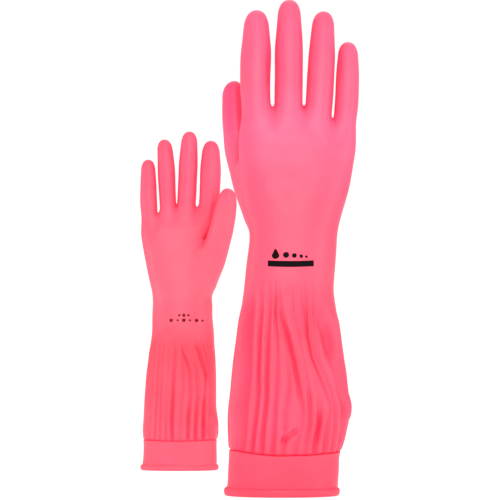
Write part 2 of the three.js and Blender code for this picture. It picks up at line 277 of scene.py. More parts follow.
class Digit:
    """A finger: an oval tube along a bent line, round at its tip and at its root."""

    POWER = 2.15

    def __init__(self, points, widths, depths, hinge, tip_round):
        points = np.array(points, float)
        self.root = points[0]
        self.along = unit(points[-1] - points[0])
        across = -np.asarray(hinge, float)
        self.across = unit(across - (across @ self.along) * self.along)
        self.through = np.cross(self.along, self.across)
        side, front, u = self.coordinates(points)
        self.line = Table(np.column_stack([u, side, front]), 7)
        stops = np.append(u[:-1], u[-1] - widths[-1])
        self.size = Table(np.column_stack([stops, widths, depths]), 6)
        self.cap = widths[-1] * tip_round
        self.shoulder = u[-1] - self.cap
        self.foot = widths[0] * 0.8
        reach = max(widths) + 12
        self.lo = points.min(0) - reach
        self.hi = points.max(0) + reach

    def coordinates(self, p):
        r = p - self.root
        return r @ self.across, r @ self.through, r @ self.along

    def __call__(self, p):
        d = np.full(len(p), 40.0)
        near = np.all((p > self.lo) & (p < self.hi), axis=1)
        side, front, u = self.coordinates(p[near])
        c1, c2 = self.line.at(u)
        w, h = self.size.at(np.minimum(u, self.shoulder + self.cap * 0.4))
        e1, e2 = np.abs(side - c1) / w + 1e-6, np.abs(front - c2) / h + 1e-6
        top = np.maximum(u - self.shoulder, 0) / self.cap
        low = np.maximum(-u, 0) / self.foot
        e3 = np.maximum(top, low)
        reach = np.where(top > 0, self.cap, self.foot)
        p_ = self.POWER
        q = (e1**p_ + e2**p_ + e3**p_) ** (1 / p_)
        slope = q ** (1 - p_) * np.sqrt(
            (e1 ** (p_ - 1) / w) ** 2 + (e2 ** (p_ - 1) / h) ** 2 + (e3 ** (p_ - 1) / reach) ** 2
        )
        d[near] = (q - 1) / slope
        return d


class Glove:
    """One glove: where it stands, its sections and its hand as one field."""

    def __init__(self, prefix, turn, rows, seed):
        self.prefix, self.turn, self.seed = prefix, turn, seed
        wrist = JOINTS[f"{prefix}_wrist_bend"]["pos_m"]
        self.origin = np.array([wrist[0], wrist[1], 0]) / MM
        self.profile = Table(rows, 4)
        self.digits = {name: self.finger(name) for name in FINGERS}
        self.digits["thumb"] = self.thumb()
        self.web = self.pivot("thumb", "base")[2] - 13

    def world(self, p):
        return (p * [self.turn, self.turn, 1] + self.origin) * MM

    def local(self, p):
        return (np.asarray(p, float) / MM - self.origin) * [self.turn, self.turn, 1]

    def direction(self, v):
        return np.asarray(v, float) * [self.turn, self.turn, 1]

    def pivot(self, digit, which):
        return self.local(JOINTS[f"{self.prefix}_{digit}_{which}_bend"]["pos_m"])

    def hinge(self, digit, which):
        return self.direction(JOINTS[f"{self.prefix}_{digit}_{which}_bend"]["axis"])

    def tip(self, digit):
        node = frame["nodes"][f"{self.prefix}_{digit}_end"]
        vertices = self.local([tuple(v.co) for v in node.data.vertices])
        from_pivot = np.linalg.norm(vertices - self.pivot(digit, "middle"), axis=1)
        return vertices[from_pivot.argmax()]

    def joints(self, digit):
        return self.pivot(digit, "base"), self.pivot(digit, "middle")

    def finger(self, name):
        first, second = self.joints(name)
        root = first + unit(first - second) * FINGER_BURIED
        root[0] += (PALM_MIDDLE - root[0]) * 0.1
        widths, aside = FINGER_SHAPES[self.prefix][name]
        line = np.array([root, first, second, self.tip(name)])
        line[:, 0] += [aside[0], *aside]
        return Digit(line, widths, FINGER_DEPTHS[name], self.hinge(name, "base"), 1.4)

    def thumb(self):
        widths, depths = THUMB_SIZES[self.prefix]
        line = np.array([*THUMB_ROOTS[self.prefix], *self.joints("thumb"), self.tip("thumb")])
        line[:, 0] += THUMB_ASIDE[self.prefix]
        return Digit(line, widths, depths, self.hinge("thumb", "base"), 1.2)

    def trunk(self, p):
        a, b, cx, power = self.profile.at(p[:, 2])
        return section_distance(p[:, 0] - cx, p[:, 1], a, b, power)

    def palm_and_fingers(self, p, thumb):
        x, z = p[:, 0], p[:, 2]
        palm = self.trunk(p)
        above = fade(z, self.web - 6, self.web + 6)
        room = (THUMB_CLEARANCE - thumb) * above - THUMB_BURIED * (1 - above)
        palm = smooth_max(palm, room, 3)
        fingers = self.digits["index"](p)
        for name in FINGERS[1:]:
            fingers = smooth_min(fingers, self.digits[name](p), FINGER_APART)
        web = web_height(x)
        fingered = fade(z, web - WEB_BELOW, web + WEB_ABOVE)
        return palm * (1 - fingered) + fingers * fingered

    def field(self, p):
        thumb = self.digits["thumb"](p)
        rounding = 13 - 12 * fade(p[:, 2], self.web - 12, self.web + 3)
        d = smooth_min(self.palm_and_fingers(p, thumb), thumb, rounding)
        return d - self.softness(*p.T) + self.dents(p)

    def cleft_shade(self, p):
        """Painted shade: 1 deep between the thumb and the palm or between two fingers, 0 on the
        open skin.
        """
        x, y, z = p.T
        thumb = self.digits["thumb"](p)
        body = self.palm_and_fingers(p, thumb)
        beside = np.where(thumb > body, (thumb - body) / PALM_CLEFT, (body - thumb) / THUMB_CLEFT)
        cleft = np.exp(-(beside**2)) * fade(y, 0, 8) * fade(z, self.web - 14, self.web + 4)
        first, second = np.sort([self.digits[name](p) for name in FINGERS], axis=0)[:2]
        gap = second - first
        narrow, soft = (np.exp(-((gap / size) ** 2)) for size in (FINGER_CLEFT, FINGER_SHADE))
        between = 0.5 * narrow + 0.5 * soft
        begin, full = (web_height(x) - depth for depth in WEB_SHADE)
        between *= fade(z, begin, full) * fade(first, 2, 1)
        return np.maximum(cleft, FINGER_CLEFT_SHADE * between)

    def dents(self, p):
        """Shallow dents in the shown side."""
        depth = np.zeros(len(p))
        for x, z, wide, high, deep in DENTS[self.prefix]:
            beside = ((p[:, 0] - x) / wide) ** 2 + ((p[:, 2] - z) / high) ** 2
            depth += deep * np.exp(-beside) * fade(-self.turn * p[:, 1], 0, 6)
        return depth

    def softness(self, x, y, z):
        """Slow, shallow unevenness of a dipped skin."""
        s = self.seed
        waves = np.sin(x / 9.1 + z / 17.0 + s) * np.sin(y / 11.0 - z / 21.0 + 2 * s)
        waves += 0.7 * np.sin(x / 15.0 - z / 9.5 + 3 * s) * np.cos(y / 8.0 + z / 31.0)
        return 0.16 * waves * fade(z, 186, 205)

    def rise(self, p):
        """How much the field rises over two slope steps along each axis."""
        g = np.empty_like(p)
        for k, step in enumerate(SLOPE_STEP * np.eye(3)):
            g[:, k] = self.field(p + step) - self.field(p - step)
        return g

    def normals(self, p):
        g = self.rise(p)
        return g / np.maximum(np.linalg.norm(g, axis=1, keepdims=True), 1e-9)

    def settle(self, p):
        """Points moved onto the surface, in two rounds."""
        for _ in range(2):
            g = self.rise(p) / (2 * SLOPE_STEP)
            f = self.field(p)
            square = np.maximum((g * g).sum(1), 0.2)
            move = np.clip(f / square, -1.5, 1.5)
            p = p - move[:, None] * g
        return p


# ---------------------------------------------------------------- meshing a field


def surface_net(field, lo, hi, step):
    """Quads round the zero level of a field, one vertex to each cell that it crosses."""
    lo, hi = np.array(lo, float), np.array(hi, float)
    n = np.ceil((hi - lo) / step).astype(int) + 1
    axes = [lo[k] + step * np.arange(n[k]) for k in range(3)]
    values = np.empty(n)
    for i in range(0, n[0], 16):  # in slabs, to keep the memory small
        part = np.stack(np.meshgrid(axes[0][i : i + 16], axes[1], axes[2], indexing="ij"), -1)
        values[i : i + 16] = field(part.reshape(-1, 3)).reshape(part.shape[:3])
    inside = values < 0
    corners = [(a, b, c) for a in (0, 1) for b in (0, 1) for c in (0, 1)]

    def corner(array, at):
        a, b, c = at
        return array[a : n[0] - 1 + a, b : n[1] - 1 + b, c : n[2] - 1 + c]

    count = sum(corner(inside, at).astype(np.int8) for at in corners)
    mixed = (count > 0) & (count < 8)
    index = np.full(mixed.shape, -1)
    cells = np.argwhere(mixed)
    index[mixed] = np.arange(len(cells))
    total, crossings = np.zeros((len(cells), 3)), np.zeros(len(cells))
    for at in corners:
        for k in range(3):
            if at[k]:
                continue
            other = tuple(1 if m == k else at[m] for m in range(3))
            fa, fb = corner(values, at)[mixed], corner(values, other)[mixed]
            crossed = (fa < 0) != (fb < 0)
            t = np.where(crossed, fa / np.where(crossed, fa - fb, 1), 0)
            place = np.tile(np.array(at, float), (len(cells), 1))
            place[:, k] += t
            total += place * crossed[:, None]
            crossings += crossed
    vertices = lo + (cells + total / crossings[:, None]) * step
    quads = []
    for k in range(3):
        a, b = (k + 1) % 3, (k + 2) % 3
        first = np.take(inside, np.arange(n[k] - 1), axis=k)
        second = np.take(inside, np.arange(1, n[k]), axis=k)
        at = np.argwhere(first != second)
        keep = (at[:, a] > 0) & (at[:, b] > 0) & (at[:, a] < n[a] - 1) & (at[:, b] < n[b] - 1)
        at = at[keep]
        outward = first[tuple(at.T)]
        ring = []
        for da, db in ((1, 1), (0, 1), (0, 0), (1, 0)):
            cell = at.copy()
            cell[:, a] -= da
            cell[:, b] -= db
            ring.append(index[tuple(cell.T)])
        ring = np.stack(ring, 1)
        quads.append(np.where(outward[:, None], ring, ring[:, ::-1]))
    return vertices, np.concatenate(quads)


def relax(vertices, quads, fixed, times):
    """Evens out the spacing of the vertices."""
    a = quads.ravel()
    b = np.roll(quads, -1, axis=1).ravel()
    for _ in range(times):
        total = np.zeros_like(vertices)
        count = np.zeros(len(vertices))
        for one, other in ((a, b), (b, a)):
            np.add.at(total, one, vertices[other])
            np.add.at(count, one, 1)
        mean = total / np.maximum(count, 1)[:, None]
        vertices = np.where(fixed[:, None], vertices, vertices + 0.5 * (mean - vertices))
    return vertices


def boundary_loop(quads):
    """The open edge of a mesh of quads, as one ring of vertices in order."""
    a, b = quads.ravel(), np.roll(quads, -1, axis=1).ravel()
    size = quads.max() + 1
    key, back = a * size + b, b * size + a
    open_edges = ~np.isin(key, back)
    follow = dict(zip(a[open_edges], b[open_edges]))
    start = next(iter(follow))
    loop, at = [start], follow[start]
    while at != start:
        loop.append(at)
        at = follow[at]
    return np.array(loop)


# ---------------------------------------------------------------- Blender meshes


def add_object(name, data):
    obj = bpy.data.objects.new(name, data)
    bpy.context.scene.collection.objects.link(obj)
    return obj


def make_object(glove, name, points, faces, normals, material, fold_shade=None, digit_light=None):
    """A smooth object from a glove's own points, with its shading normals and rest places."""
    vertices = glove.world(points)
    mesh = bpy.data.meshes.new(name)
    mesh.from_pydata([tuple(v) for v in vertices], [], [tuple(f) for f in faces])
    mesh.polygons.foreach_set("use_smooth", np.ones(len(mesh.polygons), bool))
    attribute = mesh.attributes.new("rest", "FLOAT_VECTOR", "POINT")
    attribute.data.foreach_set("vector", vertices.astype(np.float32).ravel())
    # the painted shade of folds and the painted light of the digits, kept on the vertices
    for title, values in (("fold_shade", fold_shade), ("digit_light", digit_light)):
        values = np.zeros(len(vertices)) if values is None else np.asarray(values)
        attribute = mesh.attributes.new(title, "FLOAT", "POINT")
        attribute.data.foreach_set("value", values.astype(np.float32))
    mesh.update()
    if normals is not None:
        shading = glove.direction(normals)
        mesh.normals_split_custom_set_from_vertices([tuple(v) for v in shading])
    mesh.materials.append(material)
    return add_object(name, mesh)


def part_of(vertices, normals, faces):
    """The vertices that some faces use, and the faces renumbered to them."""
    sizes = [len(f) for f in faces]
    flat = np.concatenate([np.asarray(f) for f in faces])
    used, inverse = np.unique(flat, return_inverse=True)
    return vertices[used], normals[used], np.split(inverse, np.cumsum(sizes)[:-1])


def with_inside(vertices, normals, faces):
    """Adds the inner face of a skin to its outer one."""
    n = len(vertices)
    inner = [tuple(i + n for i in reversed(f)) for f in faces]
    return (
        np.concatenate([vertices, vertices - normals * SKIN]),
        np.concatenate([normals, -normals]),
        list(map(tuple, faces)) + inner,
    )


def grid_faces(rows, columns, start=0, closed=True):
    """Quads between rows of vertices, which close round on themselves or are left open."""
    r, c = np.meshgrid(np.arange(rows - 1), np.arange(columns - (not closed)), indexing="ij")
    a = start + r * columns + c
    b = start + r * columns + (c + 1) % columns
    return np.stack([a, b, b + columns, a + columns], -1).reshape(-1, 4)


def grid_normals(points):
    """Outward normals of a closed stack of rings, listed upwards and counterclockwise."""
    across = np.roll(points, -1, axis=1) - np.roll(points, 1, axis=1)
    up = np.gradient(points, axis=0)
    return unit(np.cross(across, up))


# ---------------------------------------------------------------- the sleeve


def ring_angles(glove, z, columns):
    """Angles of the section's outline that space the columns evenly."""
    a, b, cx, power = (float(v[0]) for v in glove.profile.at(np.array([z])))
    t = np.linspace(-np.pi, np.pi, 20001)
    x, y = outline(a, b, power, t)
    length = np.concatenate([[0], np.cumsum(np.hypot(np.diff(x), np.diff(y)))])
    return np.interp(np.arange(columns) / columns * length[-1], length, t)


def outline(a, b, power, t):
    c, s = np.cos(t), np.sin(t)
    x = a * np.sign(c) * np.abs(c) ** (2 / power)
    y = b * np.sign(s) * np.abs(s) ** (2 / power)
    return x, y


def ring_points(glove, z, angles):
    """Points of the section at heights z (one to a column) and their flat outward normals."""
    a, b, cx, power = glove.profile.at(z)
    x, y = outline(a, b, power, angles)
    nx = np.sign(x) * np.abs(x / a) ** (power - 1) / a
    ny = np.sign(y) * np.abs(y / b) ** (power - 1) / b
    n = np.hypot(nx, ny)
    points = np.stack([x + cx, y, np.broadcast_to(z, x.shape)], -1)
    normals = np.stack([nx / n, ny / n, np.zeros_like(nx)], -1)
    return points, normals


class Gathers:
    """Radial relief of a gathered sleeve.

    x is measured as it is seen on the glove's shown side, left to right. Each pleat's valley on
    that side is a line of (z, x, depth) from its top down; round the back the pleats are even.
    Strokes are single folds that lie over the pleats.
    """

    def __init__(self, valleys, back_count, back_depth, strokes, seam, seed):
        self.valleys = [np.array(sorted(line), float) for line in valleys]
        self.back_count, self.strokes, self.seam, self.seed = back_count, strokes, seam, seed
        rng = np.random.RandomState(seed)
        self.back = back_depth * rng.uniform(0.6, 1.25, back_count + 1)
        self.back_start = rng.uniform(156, 168, back_count + 1)

    def row(self, t, x, z):
        """Pleat number and valley depth at columns t (0 to 1 over the shown half, to 2 behind)."""
        count = len(self.valleys) + 1
        shown = t <= 1
        order = np.argsort(t[shown])
        ts, xs = t[shown][order], x[shown][order]
        grown = fade(z, self.back_start, self.back_start - 26)
        at_t, depths = [0.0], [self.back[0] * grown[0]]
        for line in self.valleys:
            place = np.interp(z, line[:, 0], line[:, 1])
            at_t.append(float(np.interp(place, xs, ts)))
            depths.append(float(np.interp(z, line[:, 0], line[:, 2])))
        at_t.append(1.0)
        psi = np.empty_like(t)
        psi[shown] = np.interp(t[shown], at_t, np.arange(count + 1))
        psi[~shown] = count + (t[~shown] - 1) * self.back_count
        every = np.concatenate([depths, (self.back * grown)[:-1]])
        nearest = np.round(psi).astype(int) % len(every)
        return psi, every[nearest]


def valley_profile(psi, sharp):
    """0 on a pleat's round ridge, -1 in its narrow valley; valleys are at whole numbers."""
    s = np.abs(np.sin(np.pi * psi))
    ridge = math.sqrt(1 + sharp * sharp)
    return (np.sqrt(s * s + sharp * sharp) - ridge) / (ridge - sharp)


def stroke_relief(x, z, shown, strokes):
    """Single folds: (line of (x, z) points, width, depth, shoulder); depth under 0 is a dent."""
    h = np.zeros_like(x)
    for line, width, depth, shoulder in strokes:
        line = np.array(line, float)
        best = np.full(x.shape, 1e9)
        along = np.zeros(x.shape)
        lengths = np.linalg.norm(np.diff(line, axis=0), axis=1)
        total, done = lengths.sum(), 0.0
        for (x0, z0), (x1, z1), length in zip(line[:-1], line[1:], lengths):
            dx, dz = (x1 - x0) / length, (z1 - z0) / length
            s = np.clip((x - x0) * dx + (z - z0) * dz, 0, length)
            off = np.hypot(x - x0 - s * dx, z - z0 - s * dz)
            nearer = off < best
            best = np.where(nearer, off, best)
            along = np.where(nearer, (done + s) / total, along)
            done += length
        ends = np.sin(np.pi * np.clip(along, 0.02, 0.98)) ** 0.5
        main = np.exp(-((best / width) ** 2))
        sides = np.exp(-(((best - 1.9 * width) / width) ** 2))
        h += shown * ends * depth * (main - shoulder * sides)
    return h


FRONT_GATHERS = Gathers(
    valleys=[
        [(174, -34, 0), (147, -35.2, 3), (99, -36.4, 2.5), (60, -41, 2.6), (36, -43, 2.6)],
        [(176, -28, 0), (147, -28.5, 2.5), (128, -29, 3), (80, -30.6, 2.8), (36, -36, 2.8)],
        [(176, -21, 0), (147, -21.6, 1.8), (118, -22.5, 2.6), (80, -24.2, 2.8), (36, -28, 2.7)],
        [(176, -16, 0), (147, -16, 2.5), (110, -15.4, 1.3), (80, -16.3, 2), (36, -20, 2.6)],
        [(140, -13, 0), (112, -8, 0.4), (89, -5.8, 1.7), (67, -10, 1.6), (36, -11, 2.2)],
        [(172, -18, 0), (159, -16.3, 1.2), (147, -13.2, 2.4), (127, -7.2, 3.2), (108, -1.7, 3),
         (85, 2.6, 2.6), (70, 5.2, 1.6), (57, 4.3, 0.7), (42, -0.6, 1.6), (36, -1.5, 1.8)],
        [(172, -4, 0), (147, -3, 1.4), (125, 3, 1.3), (108, 6.3, 0.3), (92, 9.2, 0.8),
         (80, 10.4, 2.2), (60, 10.7, 2.1), (36, 6, 1.5)],
        [(172, 2, 0), (147, 2.6, 0.8), (110, 10.3, 0.4), (84, 16, 0.4), (72, 18.4, 1.8),
         (60, 17.8, 3), (42, 14.4, 3), (36, 14, 2.6)],
        [(176, 7, 0), (147, 8.3, 2.3), (128, 8.9, 2.9), (111, 12, 2.6), (91, 21.1, 1.8),
         (75, 27.5, 0.9), (60, 25.8, 1.5), (36, 22, 2.4)],
        [(176, 13, 0), (147, 13.2, 1.5), (132, 13.8, 1), (112, 16.8, 1.3), (87, 29.3, 0.9),
         (60, 31.3, 1.4), (36, 28.5, 1.6)],
        [(172, 18, 0), (145, 18, 1.6), (127, 22.6, 2), (99, 32.7, 0.7), (70, 37.8, 1.8),
         (36, 33, 1.5)],
    ],
    back_count=14,
    back_depth=2.2,
    strokes=[
        ([(-8.6, 157), (4, 122), (12.7, 98.6), (22, 80)], 6.5, 1.4, 0.1),
        ([(25.9, 138), (28.8, 108)], 5.5, -2.4, 0.3),
        ([(42, 82), (41.7, 60)], 6, 2.2, 0.0),
        ([(38.2, 77), (37.4, 60)], 2.0, -2.6, 0.2),
        ([(-12.5, 42.6), (1.5, 54.3)], 2.2, -2.2, 0.4),
        ([(16, 42), (18.7, 67)], 1.9, -1.2, 0.4),
        ([(-3.5, 165), (-17.5, 157)], 3.5, -0.8, 0.2),
    ],
    seam=[(-54, 36.3), (-35, 33.4), (-17, 31.7), (10, 32.2), (32, 34), (42, 36)],
    seed=4,
)

REAR_GATHERS = Gathers(
    valleys=[
        [(158, -32, 0), (140, -32, 1.4), (84, -33.5, 1.5), (36, -34, 1.6)],
        [(160, -26, 0), (140, -26, 1.2), (92, -26.4, 1.6), (36, -28.4, 2)],
        [(158, -20, 0), (140, -20.3, 1.2), (92, -22.2, 1.4), (36, -22, 1.8)],
        [(158, -13, 0), (140, -13, 0.8), (92, -14.9, 0.9), (36, -15, 2)],
        [(160, -6, 0), (140, -5.7, 2), (92, -7.1, 2.8), (64, -8, 3.4), (36, -7.6, 3)],
        [(150, 2.5, 0), (128, 4.3, 1.6), (92, 3.7, 1.5), (36, 1.7, 1.8)],
        [(164, -1, 0), (150, 1.3, 2.4), (138, 4.4, 3), (120, 13, 2), (92, 14.5, 1.8),
         (64, 11.8, 3.4), (36, 11.3, 3.4)],
        [(156, 11, 0), (121, 20.3, 2), (92, 22.9, 1.7), (64, 20.8, 3.2), (36, 19.7, 3.6)],
        [(160, 20, 0), (148, 21.8, 2.2), (118, 32.4, 2.4), (92, 31.4, 2.2), (78, 29.7, 3.8),
         (36, 29.3, 3.6)],
        [(158, 29, 0), (148, 30.1, 2), (103, 37.3, 2), (36, 36.3, 2)],
    ],
    back_count=13,
    back_depth=2.2,
    strokes=[
        ([(20, 152), (28, 124), (36.8, 101)], 2.6, -1.4, 0.3),
        ([(46, 66), (45, 48)], 7, 2.6, 0.0),
        ([(31, 60), (33.5, 44)], 4.0, -2.2, 0.2),
    ],
    seam=[(-46, 36), (-20, 34.6), (0, 34.2), (20, 34.8), (46, 36)],
    seed=9,
)


def sleeve_grid(glove, gathers):
    """The gathered tube as a grid of points, from inside the cuff band up to the wrist, with the
    painted shade of its valleys.
    """
    angles = ring_angles(glove, 100, COLUMNS)
    half = COLUMNS // 2
    first = 0 if glove.turn > 0 else half  # the front glove shows its -y side, the rear one +y
    t = (np.arange(COLUMNS) - first) % COLUMNS / half
    shown_half = t <= 1
    seam = seam_heights(glove, gathers, angles)
    share = np.linspace(0, 1, SLEEVE_ROWS) ** 1.12
    points = np.empty((SLEEVE_ROWS, COLUMNS, 3))
    fold_shade = np.empty((SLEEVE_ROWS, COLUMNS))
    for r, s in enumerate(share):
        z = seam + s * (JOIN_Z - seam)
        base, flat = ring_points(glove, z, angles)
        seen_x = base[:, 0] * glove.turn
        height = float(z.mean())
        psi, depth = gathers.row(t, seen_x, height)
        relief, valley = pleat_relief(gathers, psi, depth, t, z, seam)
        across = np.abs(flat[:, 1])
        shown = shown_half * fade(across, 0.05, 0.45)
        single = stroke_relief(seen_x, z, shown, gathers.strokes) * fade(z, 172, 150)
        relief += single
        relief *= fade(z - seam, -1.0, 5.0) * 0.75 + 0.25
        tuck = 1.25 * (1 - fade(z - seam, 0.0, 2.2))
        points[r] = base + flat * (relief - tuck)[:, None]
        # painted shade: deep in the pleats' valleys and the single folds' dents, with a dark band
        # just above the seam with the cuff band
        shade_depth = valley - np.minimum(single, 0) + 4.2 * fade(z - seam, 3.6, 0.3)
        fold_shade[r] = np.clip(shade_depth / FULL_FOLD_SHADE, 0, 1.3)
    return angles, seam, points, fold_shade


def pleat_relief(gathers, psi, depth, t, z, seam):
    """Height of the pleats over the sleeve's even surface, and how deep the valleys are, which sets
    their painted shade.
    """
    wobble = 0.08 * noise_2d(psi * 0.7, z / 26.0, gathers.seed + 1, 19)
    main = valley_profile(psi + wobble, 0.3)
    fine = valley_profile(2 * psi + 0.5 + wobble, 0.4)
    fine_weight = 0.55 * fade(z, 174, 160) * fade(z, 104, 140)
    relief = depth * main + fine * fine_weight
    relief += depth * 0.42  # ridges stand proud as much as valleys sink
    relief += 0.35 * fade(z, 75, 45) * noise_1d(psi * 2.3, gathers.seed + 5)
    swell = noise_2d(t * 6, z / 30.0, gathers.seed + 2, 12)
    relief += 0.7 * swell * fade(z, 172, 140) * fade(z - seam, 0, 12)
    return relief, -depth * main - 0.5 * fine * fine_weight


def seam_heights(glove, gathers, angles):
    """Height of the seam between band and sleeve, one to a column."""
    points, normals = ring_points(glove, np.full(len(angles), 33.0), angles)
    seen_x = points[:, 0] * glove.turn
    shown = normals[:, 1] * -glove.turn
    places, heights = zip(*gathers.seam)
    front = np.interp(seen_x, places, heights)
    ends = 0.5 * (heights[0] + heights[-1])
    seam = np.where(shown >= 0, front, ends)
    kernel = np.hanning(31)
    kernel /= kernel.sum()
    return np.convolve(np.concatenate([seam[-15:], seam, seam[:15]]), kernel, mode="valid")


# ---------------------------------------------------------------- materials

# Colour up the glove: height in mm, green and blue, with red full. Paler over the hand than over
# the sleeve; these tones follow the glove's brightness at each height, so they carry painted light
# and shade as well as the rubber's colour.
FRONT_COLOURS = [
    (0, 0.062, 0.122),
    (36, 0.068, 0.132),
    (60, 0.082, 0.154),
    (150, 0.078, 0.146),
    (176, 0.089, 0.158),
    (215, 0.089, 0.163),
    (270, 0.096, 0.188),
    (310, 0.118, 0.238),
    (350, 0.098, 0.194),
    (430, 0.101, 0.208),
]
REAR_COLOURS = [
    (0, 0.102, 0.168),
    (36, 0.097, 0.160),
    (60, 0.096, 0.154),
    (150, 0.074, 0.119),
    (176, 0.110, 0.176),
    (215, 0.120, 0.184),
    (290, 0.120, 0.192),
    (350, 0.094, 0.176),
    (430, 0.094, 0.178),
]
# How much deeper the blotches are, and the roughness.
LOOKS = {
    "cuff": (0.14, 0.44),
    "sleeve": (0.12, 0.42),
    # the thumbs have a material of their own only to carry their painted light
    "thumb": (0.10, 0.40),
    "hand": (0.10, 0.40),
}
# Painted light on the thumbs: shares of green and blue that a thumb keeps of the hand's colour; the
# front thumb is painted darker, as in shade, the rear one lighter.
THUMB_LIGHT_SHARES = {"front": (0.80, 0.98), "rear": (1.12, 1.06)}
FOLD_SHADE_COLOUR = (1, 0.50, 0.70)  # painted shade: what the rubber keeps of each colour where its fold shade is full


def principled(name, values):
    """A material with these uniform values, and its shader."""
    material = bpy.data.materials.new(name)
    material.use_nodes = True
    bsdf = material.node_tree.nodes["Principled BSDF"]
    for title, value in values.items():
        bsdf.inputs[title].default_value = value
    return material, bsdf


def add_node(tree, kind, inputs, **properties):
    """A shader node with these properties; an input is a value or another node's output."""
    node = tree.nodes.new(f"ShaderNode{kind}")
    for title, value in properties.items():
        setattr(node, title, value)
    for title, value in inputs.items():
        if isinstance(value, bpy.types.NodeSocket):
            tree.links.new(value, node.inputs[title])
        else:
            node.inputs[title].default_value = value
    return node


RUBBER = {
    "Subsurface Weight": 0.12,
    "Subsurface Radius": (1.0, 0.25, 0.3),
    "Subsurface Scale": 0.002,
    "Specular IOR Level": 0.35,
    "IOR": 1.5,
}


def rubber(name, colours, blotch, roughness, light_shares):
    """Satin dipped rubber: slightly blotchy, slightly translucent, with a fine skin grain; its
    colour also carries painted shade in folds, clefts and dents and painted light on the thumbs.
    """
    material, bsdf = principled(name, RUBBER)
    tree = material.node_tree

    def painted(title):
        return add_node(tree, "Attribute", {}, attribute_name=title, attribute_type="GEOMETRY")

    place = painted("rest").outputs["Vector"]

    def noise(scale, detail, rough=0.5):
        values = {"Scale": scale, "Detail": detail, "Roughness": rough, "Vector": place}
        return add_node(tree, "TexNoise", values).outputs["Fac"]

    def spread(source, low, high, out_low, out_high):
        ends = {"From Min": low, "From Max": high, "To Min": out_low, "To Max": out_high}
        return add_node(tree, "MapRange", {**ends, "Value": source}).outputs["Result"]

    def deepened(colour, factor, kept):
        """The colour, times what is kept of it where the factor is 1."""
        values = {"B": (*kept, 1), "Factor": factor, "A": colour}
        node = add_node(tree, "Mix", values, data_type="RGBA", blend_type="MULTIPLY")
        return node.outputs["Result"]

    height = add_node(tree, "SeparateXYZ", {"Vector": place}).outputs["Z"]
    top = colours[-1][0]
    ramp = add_node(tree, "ValToRGB", {"Fac": spread(height, 0, top * MM, 0, 1)})
    steps = ramp.color_ramp.elements
    while len(steps) < len(colours):
        steps.new(1.0)
    for step, (level, green, blue) in zip(steps, colours):
        step.position = level / top
        step.color = (1, green, blue, 1)
    blotches = spread(noise(42, 3), 0.32, 0.68, 1, 0)
    blotched = deepened(ramp.outputs["Color"], blotches, (1, 1 - blotch, 1 - 0.7 * blotch))
    patches = spread(noise(17, 2), 0.38, 0.62, 1, 0)
    patched = deepened(blotched, patches, (1, 1 - 0.8 * blotch, 1 - 0.8 * blotch))
    # painted light on the thumbs: the front one darker, as in shade, the rear one lighter
    shaded = deepened(patched, painted("digit_light").outputs["Fac"], (1, *light_shares))
    # painted shade in the sleeve's valleys and dents, above the band's seam, and in the hand's
    # clefts and dents
    fold_shaded = deepened(shaded, painted("fold_shade").outputs["Fac"], FOLD_SHADE_COLOUR)
    rough = spread(noise(120, 2), 0.3, 0.7, roughness - 0.04, roughness + 0.05)
    grain = {"Strength": 0.25, "Distance": 0.00012, "Height": noise(950, 2, 0.6)}
    normal = add_node(tree, "Bump", grain).outputs["Normal"]
    soft = {"Strength": 0.35, "Distance": 0.0006, "Height": noise(130, 2), "Normal": normal}
    normal = add_node(tree, "Bump", soft).outputs["Normal"]
    for title, output in (("Base Color", fold_shaded), ("Roughness", rough), ("Normal", normal)):
        tree.links.new(output, bsdf.inputs[title])
    return material


def ink(name, colour):
    values = {"Base Color": (*colour, 1), "Roughness": 0.7, "Specular IOR Level": 0.08}
    return principled(name, values)[0]


# ---------------------------------------------------------------- building one glove


HEM_ROWS = 4
HEM_STEP = 1.1


def build_sleeve(glove, gathers, material):
    angles, seam, points, fold_shade = sleeve_grid(glove, gathers)
    normals = grid_normals(points)
    top = points[-1]
    normals[-1] = glove.normals(top)
    # a hem that is tucked down behind the cuff band
    hem = points[:1].repeat(HEM_ROWS, axis=0)
    for k in range(HEM_ROWS):
        hem[k, :, 2] -= (HEM_ROWS - k) * HEM_STEP
    outer = np.concatenate([hem, points])
    fold_shade, outer_normals = (
        np.concatenate([grid[:1].repeat(HEM_ROWS, axis=0), grid]) for grid in (fold_shade, normals)
    )
    inner = outer[::2, ::2] - outer_normals[::2, ::2] * SKIN
    inner[-1] = outer[-1, ::2] - outer_normals[-1, ::2] * SKIN
    faces = grid_faces(len(outer), COLUMNS)
    inner_faces = grid_faces(len(inner), COLUMNS // 2, len(outer) * COLUMNS)[:, ::-1]
    vertices = np.concatenate([outer.reshape(-1, 3), inner.reshape(-1, 3)])
    all_normals = np.concatenate(
        [outer_normals.reshape(-1, 3), -outer_normals[::2, ::2].reshape(-1, 3)]
    )
    obj = make_object(
        glove,
        f"{glove.prefix}_sleeve_skin",
        vertices,
        np.concatenate([faces, inner_faces]),
        all_normals,
        material,
        np.concatenate([fold_shade.ravel(), fold_shade[::2, ::2].ravel() * 0.5]),
    )
    return obj, angles, seam, top


BAND_FOOT = 4.2
BAND_GAP = 0.15  # below the seam, and out from the section
BAND_ROWS = 34
BAND_WAVES = 9  # round the cuff
BAND_WAVE_HEIGHT = 19.0
EDGE_RADIUS = 0.45


def round_share(count):
    """Place round the cuff, one to a column, counted in waves."""
    return np.arange(COLUMNS) / COLUMNS * count


